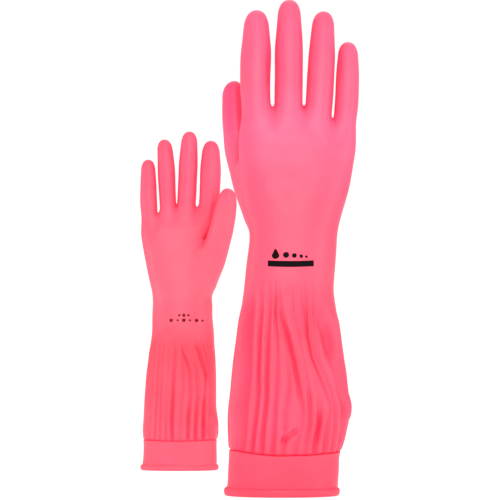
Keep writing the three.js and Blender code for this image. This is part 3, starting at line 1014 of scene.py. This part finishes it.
def build_band(glove, gathers, angles, seam, material):
    """The smooth cuff band: outside, a round top edge and the inside."""
    outer = []
    for s in np.linspace(0, 1, BAND_ROWS):
        z = BAND_FOOT + s * (seam - BAND_GAP - BAND_FOOT)
        base, flat = ring_points(glove, z, angles)
        level = np.full(COLUMNS, z.mean() / BAND_WAVE_HEIGHT)
        wave = 0.35 * noise_2d(round_share(BAND_WAVES), level, gathers.seed + 3, BAND_WAVES)
        wave += 0.4 * fade(s, 0.13, 0.0)
        outer.append(base + flat * (BAND_GAP + wave)[:, None])
    outer = np.array(outer)
    normals = grid_normals(outer)
    edge = []
    for turn in (0.35, 0.75, 1.0):
        angle = turn * math.pi
        base = outer[-1].copy()
        lip = normals[-1] * [1, 1, 0]
        base -= unit(lip) * (EDGE_RADIUS * (1 - math.cos(angle)))
        base[:, 2] += EDGE_RADIUS * math.sin(angle)
        edge.append(base)
    wall = 2 * EDGE_RADIUS
    inner = [p - unit(n * [1, 1, 0]) * wall for p, n in zip(outer[-2::-1], normals[-2::-1])]
    points = np.concatenate([outer, np.array(edge), np.array(inner)])
    faces = grid_faces(len(points), COLUMNS)
    name = f"{glove.prefix}_cuff_band_skin"
    return make_object(glove, name, points.reshape(-1, 3), faces, None, material)


BEAD_HALF_WIDTH = 2.1
BEAD_HALF_HEIGHT = 3.3
BEAD_SIDES = 20
BEAD_WAVES = 24  # round the rim
BEAD_SEED = 7
LOWEST = 0.02  # the rim's underside is this far off the floor


def build_bead(glove, angles, material):
    """The rolled rim: a soft roll of rubber that the glove stands on."""
    base, flat = ring_points(glove, np.full(COLUMNS, 2.0), angles)
    wave = 0.25 * noise_2d(round_share(BEAD_WAVES), np.zeros(COLUMNS), BEAD_SEED, BEAD_WAVES)
    rings = []
    for a in np.linspace(-np.pi / 2, 1.5 * np.pi, BEAD_SIDES, endpoint=False):
        out = BEAD_HALF_WIDTH * math.cos(a) - 0.2
        up = BEAD_HALF_HEIGHT + BEAD_HALF_HEIGHT * math.sin(a)
        ring = base + flat * (out + wave * 0.6)[:, None]
        ring[:, 2] = np.maximum(up + wave * 0.3 * (up > 1), LOWEST)
        rings.append(ring)
    points = np.concatenate(rings)
    faces = grid_faces(BEAD_SIDES + 1, COLUMNS) % len(points)  # the last ring joins the first
    return make_object(glove, f"{glove.prefix}_cuff_bead_skin", points, faces, None, material)


def stitch(upper, lower, upper_angles, lower_angles):
    """Triangles between two rings that run counterclockwise."""
    faces, i, j = [], 0, 0
    n, m = len(upper), len(lower)
    while i < n or j < m:
        next_upper = upper_angles[i + 1] if i + 1 < n else upper_angles[0] + 2 * np.pi
        next_lower = lower_angles[j + 1] if j + 1 < m else lower_angles[0] + 2 * np.pi
        if j >= m or (i < n and next_upper <= next_lower):
            faces.append((lower[j % m], upper[(i + 1) % n], upper[i % n]))
            i += 1
        else:
            faces.append((lower[j % m], lower[(j + 1) % m], upper[i % n]))
            j += 1
    return faces


def hand_mesh(glove, ring):
    """The whole hand from the sleeve's top ring up: vertices, normals and faces."""
    tips = np.array([glove.tip(name) for name in DIGITS])
    lo = [-76, -27, JOIN_Z + 0.6]
    hi = [66, 50, tips[:, 2].max() + 4]
    vertices, quads = surface_net(glove.field, lo, hi, HAND_STEP)
    loop = boundary_loop(quads)
    fixed = np.zeros(len(vertices), bool)
    fixed[loop] = True
    vertices = glove.settle(vertices)
    vertices = relax(vertices, quads, fixed, 3)
    vertices = glove.settle(vertices)
    if turning(vertices[loop]) < 0:
        loop = loop[::-1]
    centre = ring.mean(0)
    loop, upper_angles = from_least(loop, around(vertices[loop], centre))
    lower = np.arange(len(ring)) + len(vertices)
    lower, lower_angles = from_least(lower, around(ring, centre))
    strip = stitch(loop, lower, upper_angles, lower_angles)
    vertices = np.concatenate([vertices, ring])
    return vertices, glove.normals(vertices), quads, strip


def from_least(ring, angles):
    """A ring and its angles, both started at the least angle."""
    order = np.argmin(angles)
    return np.roll(ring, -order), np.roll(angles, -order)


def turning(loop):
    x, y = loop[:, 0] - loop[:, 0].mean(), loop[:, 1] - loop[:, 1].mean()
    return float(np.sum(x * np.roll(y, -1) - np.roll(x, -1) * y))


def around(points, centre):
    return np.unwrap(np.arctan2(points[:, 1] - centre[1], points[:, 0] - centre[0])) % (2 * np.pi)


FIRST_CUT = -6.0  # mm along a digit from its first joint, just below where it starts to bend
BEND_BELOW = -5.0  # the first bend begins here
BEND_ABOVE = 18.0  # and ends here at the furthest
SECOND_BEND = 10.0  # the second bend reaches this far to both sides of its joint
OWNED = 5.0  # skin further than this outside a digit's own shape never rides on it
DIGIT_LIGHT_FULL = 20.0  # mm past the first joint where a digit's painted light is in full


def bend_end(first, second):
    """How far along a digit its first bend ends, short of where its second one starts."""
    return min(BEND_ABOVE, np.linalg.norm(second - first) - SECOND_BEND - 0.5)


def classify(glove, centres):
    """0 for the hand, then 1 and 2 for a digit's base and end, counted on through the digits."""
    kind = np.zeros(len(centres), int)
    thumb = glove.digits["thumb"](centres)
    nearest = np.full(len(centres), OWNED)
    for k, name in enumerate(DIGITS):
        first, second = glove.joints(name)
        distance = glove.digits[name](centres)
        rival = glove.palm_and_fingers(centres, thumb) if name == "thumb" else thumb
        t = (centres - first) @ unit(second - first)
        middle = bend_end(first, second) + 0.25
        mine = (t > FIRST_CUT) & (distance < nearest) & (distance < rival)
        nearest = np.where(mine, distance, nearest)
        kind = np.where(mine, 2 * k + 1 + (t > middle), kind)
    return kind


def build_hand(glove, ring, materials):
    vertices, normals, quads, strip = hand_mesh(glove, ring)
    kind = classify(glove, vertices[quads].mean(1))
    p = glove.prefix
    for code in range(2 * len(DIGITS) + 1):
        faces = [tuple(q) for q in quads[kind == code]]
        if code == 0:
            faces += strip
        part, part_normals, part_faces = part_of(vertices, normals, faces)
        # painted shade in the clefts between thumb, palm and fingers, and in the dents
        fold_shade = np.minimum(glove.cleft_shade(part) + DENT_SHADE * glove.dents(part), 1)
        part, part_normals, part_faces = with_inside(part, part_normals, part_faces)
        digit_light = None
        if code == 0:
            name, nodes, slot = f"{p}_hand_skin", [f"{p}_hand", f"{p}_wrist"], "hand"
            start, end = (np.array([0, 0, z]) for z in WRIST_BLEND)
        else:
            digit = DIGITS[(code - 1) // 2]
            first, second = glove.joints(digit)
            # the thumb's material carries its painted light
            slot = "thumb" if digit == "thumb" else "hand"
            # how fully a digit takes its material's painted light, rising from its first joint
            digit_light = fade((part - first) @ unit(second - first), FIRST_CUT, DIGIT_LIGHT_FULL)
            if code % 2:
                name, nodes = f"{p}_{digit}_base_skin", [f"{p}_{digit}_base"]
                direction = unit(second - first)
                start = first + direction * BEND_BELOW
                end = first + direction * bend_end(first, second)
            else:
                name, nodes = f"{p}_{digit}_end_skin", [f"{p}_{digit}_end"]
                direction = unit(unit(second - first) + unit(glove.tip(digit) - second))
                start = second - direction * SECOND_BEND
                end = second + direction * SECOND_BEND
        obj = make_object(
            glove,
            name,
            part,
            part_faces,
            part_normals,
            materials[slot],
            np.concatenate([fold_shade, 0.5 * fold_shade]),
            digit_light,
        )
        start, end = glove.world(start), glove.world(end)
        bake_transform(obj)
        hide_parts(*nodes)


# ---------------------------------------------------------------- printed marks


def patch(shape_x, shape_z):
    """A filled convex outline as a fan of triangles in rings, so that it can follow a surface."""
    cx, cz = np.mean(shape_x), np.mean(shape_z)
    points, faces, n = [(cx, cz)], [], len(shape_x)
    rings = 4
    for r in range(1, rings + 1):
        s = r / rings
        points += list(zip(cx + (shape_x - cx) * s, cz + (shape_z - cz) * s))
    for i in range(n):
        faces.append((0, 1 + i, 1 + (i + 1) % n))
    for r in range(rings - 1):
        for i in range(n):
            a, b = 1 + r * n + i, 1 + r * n + (i + 1) % n
            faces.append((a, a + n, b + n, b))
    return np.array(points), faces


def bar(x0, x1, z, height, sag):
    """A flat bar that sags in its middle."""
    columns, rows = 60, 6
    grid = []
    for h in np.linspace(-0.5, 0.5, rows):
        for x in np.linspace(x0, x1, columns):
            s = (x - x0) / (x1 - x0)
            grid.append((x, z - sag * 4 * s * (1 - s) + h * height))
    return np.array(grid), grid_faces(rows, columns, closed=False)


def disc(x, z, radius, drop=0.0):
    """A disc, or a drop where its top is drawn up to a point."""
    a = np.linspace(0, 2 * np.pi, 28, endpoint=False)
    px, pz = radius * np.cos(a), radius * np.sin(a)
    pz = np.where(pz > 0, pz * (1 + drop * (pz / radius) ** 2), pz)
    px = np.where(pz > 0, px * (1 - 0.35 * drop * np.clip(pz / radius, 0, 1)), px)
    return patch(x + px, z + pz)


PRINT_START = 23.0  # about the wrist's half depth, from where the marks settle onto the skin
INK_HEIGHT = 0.09  # over the rubber


def build_print(glove, shapes, name, material):
    """Marks on the shown side of the wrist, a hair above the rubber."""
    sign = -glove.turn
    points, faces = [], []
    for flat, some in shapes:
        base = sum(len(p) for p in points)
        points.append(flat)
        faces += [tuple(i + base for i in f) for f in some]
    flat = np.concatenate(points)
    deep = np.full(len(flat), sign * PRINT_START)
    p = np.column_stack([flat[:, 0] * glove.turn, deep, flat[:, 1]])
    for _ in range(12):
        p[:, 1] -= sign * glove.field(p)
    n = glove.normals(p)
    obj = make_object(glove, name, p + n * INK_HEIGHT, faces, n, material)
    start, end = (glove.world(np.array([0, 0, z])) for z in WRIST_BLEND)
    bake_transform(obj)


def front_marks():
    shapes = [bar(-22.4, 15.4, 188.0, 5.0, 0.9)]
    shapes.append(disc(-16.0, 194.6, 3.1, 0.75))
    for x, r in ((-7.4, 2.5), (-0.6, 2.0), (5.0, 1.5), (9.3, 1.1)):
        shapes.append(disc(x, 192.2 + r, r))
    return shapes


def rear_marks():
    lower = [(-11, 2.2), (-3, 1.4), (4.5, 2.3), (12, 1.4), (20, 2.2), (27, 1.4)]
    upper = [(-1, 1.5), (4.5, 2.0), (10, 1.5)]
    return [disc(x, 181.0, r) for x, r in lower] + [disc(x, 187.2, r) for x, r in upper]


# ---------------------------------------------------------------- putting it together


def build_glove(prefix, turn, rows, gathers, marks, ink_colour, seed, colours):
    glove = Glove(prefix, turn, rows, seed)
    materials = {
        slot: rubber(
            f"{prefix}_{slot}_rubber",
            colours,
            *look,
            # the thumbs' painted light
            THUMB_LIGHT_SHARES[prefix] if slot == "thumb" else (1, 1),
        )
        for slot, look in LOOKS.items()
    }
    sleeve, angles, seam, ring = build_sleeve(glove, gathers, materials["sleeve"])
    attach(sleeve, f"{prefix}_cuff")
    anchor = float(seam.mean())
    low = glove.world(np.array([0, 0, anchor]))
    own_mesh(sleeve)
    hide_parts(f"{prefix}_sleeve_lower", f"{prefix}_sleeve_upper")
    for obj, node in (
        (build_band(glove, gathers, angles, seam, materials["cuff"]), "cuff_band"),
        (build_bead(glove, angles, materials["cuff"]), "cuff_bead"),
    ):
        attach(obj, f"{prefix}_cuff")
        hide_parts(f"{prefix}_{node}")
    build_hand(glove, ring, materials)
    build_print(glove, marks, f"{prefix}_print", ink(f"{prefix}_ink", ink_colour))


BLACK_INK = (0.004, 0.002, 0.003)
RED_INK = (0.16, 0.012, 0.02)

build_glove("front", 1, FRONT_ROWS, FRONT_GATHERS, front_marks(), BLACK_INK, 1.7, FRONT_COLOURS)
build_glove("rear", -1, REAR_ROWS, REAR_GATHERS, rear_marks(), RED_INK, 4.1, REAR_COLOURS)

# ---------------------------------------------------------------- floor, light and camera


FLOOR_HALF = 6.0
WORLD_SEEN, WORLD_FELT = 1.05, 0.62
# Name, place, target, size and power in watts.
LIGHTS = [
    ("key", (0.0, -1.7, 1.0), (0.0, 0.0, 0.22), (0.9, 0.9), 11),
    ("fill", (1.2, -1.2, 0.5), (0.05, 0.0, 0.2), (0.8, 1.0), 6),
    ("side", (-0.8, -0.15, 0.35), (-0.06, 0.17, 0.28), (0.4, 0.5), 1.1),
    ("top", (0.1, 0.1, 1.7), (0.0, 0.0, 0.2), (1.2, 1.2), 4),
]
LENS, SENSOR, RISE = 60.47, 36, 0.10  # mm, mm and share of the frame
CAMERA_PITCH = 8.067  # degrees up from level
CAMERA_LEFT, CAMERA_BACK, CAMERA_HEIGHT = 0.037, 0.700, 0.06135  # from the front wrist; floor


def area_light(name, place, target, size, power):
    data = bpy.data.lights.new(name, "AREA")
    data.shape = "RECTANGLE"
    data.size, data.size_y = size
    data.energy = power
    obj = add_object(name, data)
    obj.location = place
    look = np.array(target, float) - np.array(place, float)
    pitch = math.atan2(math.hypot(look[0], look[1]), -look[2])
    yaw = math.atan2(look[1], look[0]) - math.pi / 2
    obj.rotation_euler = (pitch, 0, yaw)


FLOOR_PAINT = {
    "Base Color": (0.85, 0.85, 0.85, 1),
    "Roughness": 0.9,
    "Specular IOR Level": 0.1,
    "Emission Color": (1, 1, 1, 1),
    "Emission Strength": 0.6,
}


def set_world():
    """An even white backdrop that lights the gloves less than it shows."""
    world = bpy.data.worlds.new("studio")
    world.use_nodes = True
    tree = world.node_tree
    seen = add_node(tree, "LightPath", {}).outputs["Is Camera Ray"]
    strengths = {"A": WORLD_FELT, "B": WORLD_SEEN, "Factor": seen}
    mix = add_node(tree, "Mix", strengths, data_type="FLOAT")
    backdrop = tree.nodes["Background"]
    tree.links.new(mix.outputs["Result"], backdrop.inputs["Strength"])
    backdrop.inputs["Color"].default_value = (1, 1, 1, 1)
    bpy.context.scene.world = world


def set_stage():
    mesh = bpy.data.meshes.new("floor")
    corners = [(x * FLOOR_HALF, y * FLOOR_HALF, 0) for x, y in ((-1, -1), (1, -1), (1, 1), (-1, 1))]
    mesh.from_pydata(corners, [], [(0, 1, 2, 3)])
    mesh.materials.append(principled("floor_paint", FLOOR_PAINT)[0])
    floor = add_object("floor", mesh)
    set_world()
    for light in LIGHTS:
        area_light(*light)
    scene = bpy.context.scene
    scene.view_settings.view_transform = "Standard"
    scene.view_settings.look = "None"


def set_camera():
    wrist = JOINTS["front_wrist_bend"]["pos_m"]
    data = bpy.data.cameras.new("camera")
    data.lens, data.sensor_width, data.shift_y = LENS, SENSOR, RISE
    data.clip_end = 20
    camera = add_object("camera", data)
    camera.location = (wrist[0] - CAMERA_LEFT, wrist[1] - CAMERA_BACK, CAMERA_HEIGHT)
    camera.rotation_euler = (math.radians(90 + CAMERA_PITCH), 0, 0)
    bpy.context.scene.camera = camera


set_stage()
set_camera()
